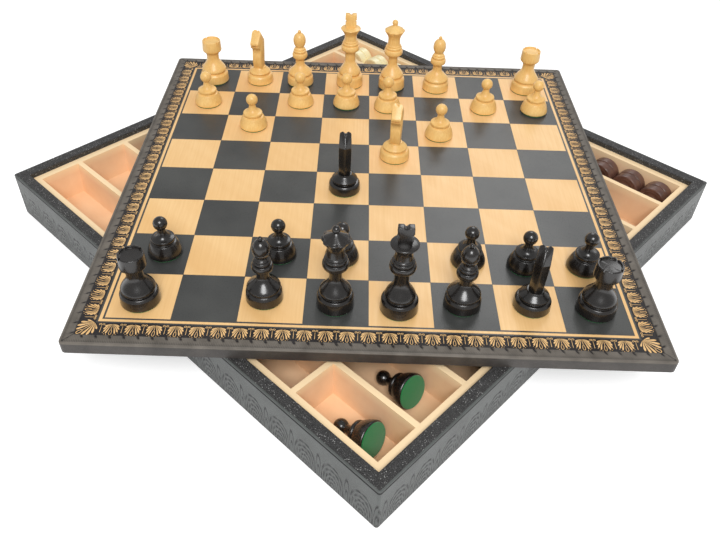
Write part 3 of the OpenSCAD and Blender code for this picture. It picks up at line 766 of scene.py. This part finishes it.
def lathe(name, outline, material, steps=96, shape=None):
    """A body of revolution; shape(radius, z, angle) may change the radius."""
    points = np.array(fillet(outline))
    angles = np.arange(steps) * 2 * math.pi / steps
    rows = []
    for r, z in points:
        radii = np.full(steps, r)
        if shape is not None and r > 0.01:
            radii = shape(radii, z, angles)
        rows.append(np.column_stack([radii * np.cos(angles), radii * np.sin(angles), np.full(steps, z)]))
    verts = np.concatenate(rows) * MM
    faces = grid_faces(len(rows), steps, wrap_columns=True)
    return merged(mesh_object(name, verts, faces, material, 50))


# Chessmen
KING_H, KING_R, QUEEN_H, QUEEN_R = 60.0, 10.9, 57.2, 10.7
BISHOP_H, BISHOP_R, KNIGHT_H, KNIGHT_R = 45.5, 10.7, 45.5, 10.7
ROOK_H, ROOK_R, PAWN_H, PAWN_R, PAWN_HEAD_R = 35.0, 11.3, 26.6, 10.5, 4.3
BASE_R = {"king": KING_R, "queen": QUEEN_R, "bishop": BISHOP_R, "knight": KNIGHT_R, "rook": ROOK_R,
          "pawn": PAWN_R}
# Degrees that a knight is turned further on its square
FURTHER = {"black_knight_right": -16, "white_knight_left": -14, "white_knight_right": -8}


def block(name, outline, depth, material, bevel=0.35):
    """An outline in X and Z, sawn out of a slab along Y, with its edges broken."""
    n = len(outline)
    verts = [(x * MM, y * MM, z * MM) for y in (-depth / 2, depth / 2) for x, z in outline]
    faces = [tuple(range(n)), tuple(reversed(range(n, 2 * n)))]
    faces += [(i, (i + 1) % n, n + (i + 1) % n, n + i) for i in range(n)]
    obj = merged(mesh_object(name, verts, faces, material, 30))
    if bevel:
        modifier(obj, "BEVEL", width=bevel * MM, segments=3, limit_method="ANGLE")
        apply_modifiers(obj)
        obj.data.shade_smooth()
        obj.data.set_sharp_from_angle(angle=math.radians(50))
    return obj


def carve(body, tool, operation="DIFFERENCE"):
    """Cuts a tool's shape out of a body, or keeps what both share."""
    modifier(body, "BOOLEAN", operation=operation, object=tool, solver="EXACT")
    bpy.context.view_layer.update()
    apply_modifiers(body)
    bpy.data.objects.remove(tool)
    body.data.shade_smooth()
    body.data.set_sharp_from_angle(angle=math.radians(45))


def join(parts):
    """Several meshes made one piece."""
    bm = bmesh.new()
    for part in parts:
        bm.from_mesh(part.data)
    mesh = parts[0].data
    bm.to_mesh(mesh)
    bm.free()
    for part in parts[1:]:
        bpy.data.objects.remove(part)
    mesh.shade_smooth()
    mesh.set_sharp_from_angle(angle=math.radians(50))
    return parts[0]


def king(material):
    z0, brim = KING_H - 31, KING_H - 11.8
    outline = (drum(KING_R, 9.8, 8.8) + bell(shoulder(9.8, 8.8), (4.1, z0 - 6)) + collar(4.1, 7.4, z0)
               + [(4.8, brim - 5.6), (5.1, brim - 4.4), (5.9, brim - 2.8), (7.6, brim - 0.4), (7.9, brim),
                  (7.6, brim + 0.5), (4.8, brim + 1.2), (0, brim + 1.4)])
    body = lathe("king", outline, material)
    w, foot, top, cut = 4.5, KING_H - 11.5, KING_H, 1.4
    waist = KING_H - 5.4
    cross = [(-3.6, foot), (3.6, foot), (3.8, foot + 1.8), (w, waist - cut), (w - cut, waist),
             (w, waist + cut), (w - 0.2, top), (cut, top), (0, top - cut), (-cut, top), (0.2 - w, top),
             (-w, waist + cut), (cut - w, waist), (-w, waist - cut), (-3.8, foot + 1.8)]
    return join([body, block("cross", cross, 4.3, material)])


def queen(material):
    z0, rim, ball_r = QUEEN_H - 29.5, QUEEN_H - 8.6, 2.35
    outline = (drum(QUEEN_R, 9.8, 9.1) + bell(shoulder(9.8, 9.1), (3.6, z0 - 5.8)) + collar(3.6, 7.4, z0)
               + [(4.7, rim - 6.6), (5, rim - 5), (5.8, rim - 3.2), (7.7, rim - 0.6), (8, rim),
                  (7.8, rim + 0.6), (6.7, rim + 1), (6.5, rim + 1.4), (2.6, rim + 3.6)]
               + ball(QUEEN_H - ball_r, ball_r, 1.6))

    def scallops(radii, z, angles):
        near = math.exp(-((z - rim + 0.3) / 2.0) ** 2)
        return radii * (1 - 0.09 * near * (0.5 + 0.5 * np.cos(9 * angles)) ** 2)

    return lathe("queen", outline, material, 144, scallops)


def bishop(material):
    z0, ball_r = BISHOP_H - 24.3, 1.35
    mitre = [(5 * math.cos(t), BISHOP_H - 8.3 + (7 if t < 0 else 6.2) * math.sin(t))
             for t in np.radians(np.arange(-48, 73, 6))]
    outline = (drum(BISHOP_R, 8, 9.7) + bell(shoulder(8, 9.7), (3.6, z0 - 3)) + collar(3.6, 6.1, z0)
               + [(3.3, z0 + 10.3)] + mitre + ball(BISHOP_H - ball_r, ball_r, 0.9))
    body = lathe("bishop", outline, material)
    slit = block("slit", [(-6, -0.45), (6, -0.45), (6, 0.45), (-6, 0.45)], 6, material, 0)
    lean = Matrix.Rotation(math.radians(35), 4, "X")
    slit.matrix_world = (Matrix.Translation((0, 0, (BISHOP_H - 7) * MM)) @ lean
                         @ Matrix.Translation((0, -4 * MM, 0)))
    carve(body, slit)
    return body


def rook(material):
    cup_z, cup_r, inside_z = ROOK_H - 8, 7.6, ROOK_H - 1.2
    outline = (drum(ROOK_R, 8.6, 9.8) + bell(shoulder(8.6, 9.8), (4.8, cup_z - 6.4))
               + [(4.9, cup_z - 2.8), (cup_r - 1.2, cup_z - 1.5), (cup_r - 0.1, cup_z - 0.2),
                  (cup_r, cup_z + 0.8), (cup_r - 0.4, ROOK_H - 0.5), (cup_r - 0.7, ROOK_H),
                  (cup_r - 1.6, ROOK_H), (cup_r - 1.8, inside_z), (0, inside_z)])
    body = lathe("rook", outline, material)
    notch = [(5.2, inside_z), (14, inside_z), (14, ROOK_H + 2), (5.2, ROOK_H + 2)]
    for i in range(4):
        slit = block("slit", notch, 1.2, material, 0)
        slit.matrix_world = Matrix.Rotation(math.radians(45 + 90 * i), 4, "Z")
        carve(body, slit)
    return body


def pawn(material):
    ledge_z, ledge_r, foot = PAWN_H - 16.4, PAWN_R - 3.3, WOOD_Z + 0.6
    outline = ([(0, WOOD_Z), (PAWN_R - 0.5, WOOD_Z), (PAWN_R, foot)]
               + slope((PAWN_R, foot), (ledge_r + 0.6, ledge_z - 1.1))
               + [(ledge_r - 0.6, ledge_z - 0.8), (ledge_r - 0.6, ledge_z - 0.1)]
               + ring(ledge_r, ledge_z + 1, 0.6, 1.1)
               + hollow((ledge_r - 0.7, ledge_z + 2.2), (2.4, PAWN_H - 2 * PAWN_HEAD_R + 0.3))
               + ball(PAWN_H - PAWN_HEAD_R, PAWN_HEAD_R, 2.3))
    return lathe("pawn", outline, material)


def mirrored(half):
    """The right half of an outline and its mirror image in X."""
    return half + [(-x, y) for x, y in reversed(half) if x]


def knight(material):
    """The base is turned. The head is a slab sawn to its side outline and then to its front outline and its
    plan, with a ridge down its back. It faces +Y."""
    outline = drum(KNIGHT_R, 7.6, 8.7) + [(8.3, 10), (5.4, 12.4), (5, 13), (4.9, 13.6), (0, 13.6)]
    base = lathe("knight", outline, material)
    top, foot, w = KNIGHT_H, 12.8, 4.1
    side = [(4, foot), (5.6, foot + 5.6), (5.3, foot + 11), (4.2, foot + 14.4), (4.6, top - 15.6),
            (7.6, top - 13.8), (9, top - 12.2), (8.9, top - 9.4), (3.6, top - 4.1), (2.4, top - 2.9),
            (0.7, top), (-1.3, top - 2.8), (-2.4, top - 3.5), (-7, top - 9.5), (-4.5, foot)]
    front = mirrored([(w - 0.2, foot), (w, top - 20), (w, top - 10), (w - 0.3, top - 4), (w - 1.1, top),
                      (w - 1.8, top), (0, top - 3.2)])
    plan = mirrored([(w, -8), (w, 1.5), (w - 0.7, 5), (w - 0.9, 9.6)])
    quarter = math.pi / 2
    head = block("head", side, 2 * w + 1, material, 0)
    head.data.transform(Matrix.Rotation(quarter, 4, "Z"))
    carve(head, block("front", front, 30, material, 0), "INTERSECT")
    tool = block("plan", plan, 120, material, 0)
    tool.data.transform(Matrix.Rotation(-quarter, 4, "X"))
    carve(head, tool, "INTERSECT")
    ridge = mirrored([(0.3, 0), (w + 0.2, 3.4), (w + 0.2, 90)])
    for low, high in ((side[-1], side[-2]), (side[-2], side[-3])):
        tool = block("ridge", ridge, 160, material, 0)
        lean = math.atan2(high[0] - low[0], high[1] - low[1])
        place = Matrix.Translation((0, low[0] * MM, low[1] * MM))
        tool.data.transform(place @ Matrix.Rotation(-quarter - lean, 4, "X"))
        carve(head, tool, "INTERSECT")
    mouth = block("mouth", [(-6, -0.35), (6, -0.35), (6, 0.35), (-6, 0.35)], 4, material, 0)
    place = Matrix.Translation((0, 9.2 * MM, (top - 11.4) * MM))
    mouth.data.transform(place @ Matrix.Rotation(math.radians(20), 4, "X"))
    carve(head, mouth)
    modifier(head, "BEVEL", width=0.22 * MM, segments=2, limit_method="ANGLE")
    apply_modifiers(head)
    return join([base, head])


MAKERS = {"king": king, "queen": queen, "bishop": bishop, "knight": knight, "rook": rook, "pawn": pawn}


def felt_disc(kind):
    r = BASE_R[kind] - FELT_INSET
    return lathe("felt", [(0, 0), (r - 0.1, 0), (r, 0.15), (r, FELT_T - 0.1), (r - 0.1, FELT_T), (0, FELT_T)],
                 MATERIALS["felt"], 64)


def fallen_place(node):
    """Where a lying piece is: its felt is the flattest of its node's solids, and its axis runs from the
    felt through the wood."""
    bm = bmesh.new()
    bm.from_mesh(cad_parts[node].data)
    bmesh.ops.remove_doubles(bm, verts=bm.verts, dist=0.001 * MM)
    bm.verts.ensure_lookup_table()
    left, islands = set(bm.verts), []
    while left:
        seed = [left.pop()]
        island = list(seed)
        while seed:
            for e in seed.pop().link_edges:
                for v in e.verts:
                    if v in left:
                        left.discard(v)
                        seed.append(v)
                        island.append(v)
        islands.append(np.array([v.co[:] for v in island]))
    bm.free()
    flat = [np.linalg.svd(p - p.mean(axis=0), full_matrices=False) for p in islands]
    which = min(range(len(islands)), key=lambda i: flat[i][1][2] / math.sqrt(len(islands[i])))
    middle = (islands[which].max(axis=0) + islands[which].min(axis=0)) / 2
    axis = Vector(flat[which][2][2])
    others = np.concatenate([p for i, p in enumerate(islands) if i != which])
    if axis.dot(Vector(others.mean(axis=0)) - Vector(middle)) < 0:
        axis.negate()
    foot = Vector(middle) - axis * (FELT_T / 2) * MM
    return Matrix.Translation(foot) @ axis.to_track_quat("Z", "Y").to_matrix().to_4x4()


def make_chessmen():
    made = {}
    nodes = [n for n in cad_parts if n.split("_")[0] in ("black", "white")]
    for node in sorted(nodes):
        side, kind = node.split("_")[:2]
        if (side, kind) not in made:
            made[side, kind] = MAKERS[kind](MATERIALS[side])
            bpy.context.collection.objects.unlink(made[side, kind])
        if ("felt", kind) not in made:
            made["felt", kind] = felt_disc(kind)
            bpy.context.collection.objects.unlink(made["felt", kind])
        low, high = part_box(node)
        lying = high[2] - low[2] < 0.024
        if lying:
            place = fallen_place(node)
        else:
            facing = LID_TURN + (math.pi if side == "white" else 0) + math.radians(FURTHER.get(node, 0))
            middle = Vector(((low[0] + high[0]) / 2, (low[1] + high[1]) / 2, low[2]))
            place = Matrix.Translation(middle) @ Matrix.Rotation(facing, 4, "Z")
        for source, name in ((made[side, kind], node + "_wood"), (made["felt", kind], node + "_felt")):
            piece = bpy.data.objects.new(name, source.data)
            bpy.context.collection.objects.link(piece)
            piece.matrix_world = place
            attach(piece, node)
            if name.endswith("_wood"):
                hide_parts(node)


# Draughts
def draught_outline(r, t):
    face = [(0, 0.55), (0.05 * r, 0.5), (0.30 * r, 0.5), (0.34 * r, 0.15), (0.42 * r, 0.1), (0.46 * r, 0.5),
            (0.66 * r, 0.5), (0.70 * r, 0.1), (0.76 * r, 0.0), (0.80 * r, 0.25), (0.84 * r, 0.0),
            (0.93 * r, 0.0), (r - 0.15, 0.35), (r, 0.9)]
    return face + [(x, t - z) for x, z in reversed(face)]


def make_draughts():
    made = {}
    for node in sorted(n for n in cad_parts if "draught" in n):
        colour = node.split("_")[0]
        low, high = box_mm(node)
        r = (high[2] - low[2]) / 2
        if colour not in made:
            one_low, one_high = box_mm(colour + "_draught_1")
            thick = one_high[1] - one_low[1]
            made[colour] = lathe(colour, draught_outline(r, thick), MATERIALS[colour + "_draught"], 80)
            made[colour].data.transform(Matrix.Translation((0, 0, -thick / 2 * MM)))
            made[colour].data.transform(Matrix.Rotation(math.radians(90), 4, "X"))
            bpy.context.collection.objects.unlink(made[colour])
        if node.endswith("lid"):
            pitch = (high[0] - low[0] - 2 * r) / 2
            step = high[1] - low[1] - thick
            places = [(low[0] + r + i * pitch, low[1] + thick / 2 + j * step)
                      for i in range(3) for j in (0, 1)]
        else:
            places = [((low[0] + high[0]) / 2, (low[1] + high[1]) / 2)]
        bm = bmesh.new()
        for i, (x, y) in enumerate(places):
            part = made[colour].data.copy()
            spin = Matrix.Rotation(0.7 * i + 0.013 * x, 4, "Y")
            part.transform(Matrix.Translation((x * MM, y * MM, (low[2] + r) * MM)) @ spin)
            bm.from_mesh(part)
        mesh = bpy.data.meshes.new(node + "_turned")
        bm.to_mesh(mesh)
        bm.free()
        piece = wrap(node + "_turned", mesh, MATERIALS[colour + "_draught"], 40)
        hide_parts(node)
        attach(piece, node)


# Floor and light
def make_floor():
    n = Nodes("floor")
    path = n.add("ShaderNodeLightPath")
    seen = n.math("ADD", path.outputs["Is Camera Ray"], path.outputs["Is Glossy Ray"], clamp=True)
    n.colour(rgb(228, 228, 228))
    n.finish(0.9, 0.1)
    n.put(n.shader.inputs["Emission Color"], (1, 1, 1, 1))
    n.put(n.shader.inputs["Emission Strength"], n.math("MULTIPLY", seen, 0.5))
    bpy.ops.mesh.primitive_plane_add(size=8, location=(0, 0, -0.0002))
    floor = bpy.context.object
    floor.name = "floor"
    floor.data.materials.append(n.material)


def make_world():
    bpy.context.scene.view_settings.view_transform = "Standard"
    world = bpy.data.worlds.new("studio")
    bpy.context.scene.world = world
    world.use_nodes = True
    tree = world.node_tree
    back = tree.nodes["Background"]
    path = tree.nodes.new("ShaderNodeLightPath")
    level = tree.nodes.new("ShaderNodeMapRange")
    level.inputs["To Min"].default_value = 0.5
    level.inputs["To Max"].default_value = 1.0
    tree.links.new(path.outputs["Is Camera Ray"], level.inputs["Value"])
    tree.links.new(level.outputs["Result"], back.inputs["Strength"])
    back.inputs["Color"].default_value = (1, 1, 1, 1)


def area_light(name, place, target, size, power):
    data = bpy.data.lights.new(name, "AREA")
    data.shape = "DISK"
    data.size = size
    data.energy = power
    light = bpy.data.objects.new(name, data)
    bpy.context.collection.objects.link(light)
    aim = (Vector(target) - Vector(place)).to_track_quat("-Z", "Y")
    light.matrix_world = Matrix.Translation(Vector(place)) @ aim.to_matrix().to_4x4()


make_camera()
make_floor()
make_world()
area_light("key", (0.9, -0.9, 1.5), (0, 0, 0), 0.9, 23)
area_light("back", (-0.6, 1.2, 1.2), (0, 0, 0), 0.8, 5)

for node, material in (("base_lining", "paper"), ("base_panel", "timber"), ("wall_front_left", "timber"),
                       ("wall_front_right", "timber"), ("wall_back_right", "timber"),
                       ("wall_back_left", "timber"), ("lid_lining", "paper"), ("lid_core", "timber"),
                       ("board_leather", "board"), ("gilt_squares", "gilt")):
    dress(node, material)

make_side_cover()
make_rim_cover()
make_tray()
make_lid_border()
make_palmettes()
make_chessmen()
make_draughts()
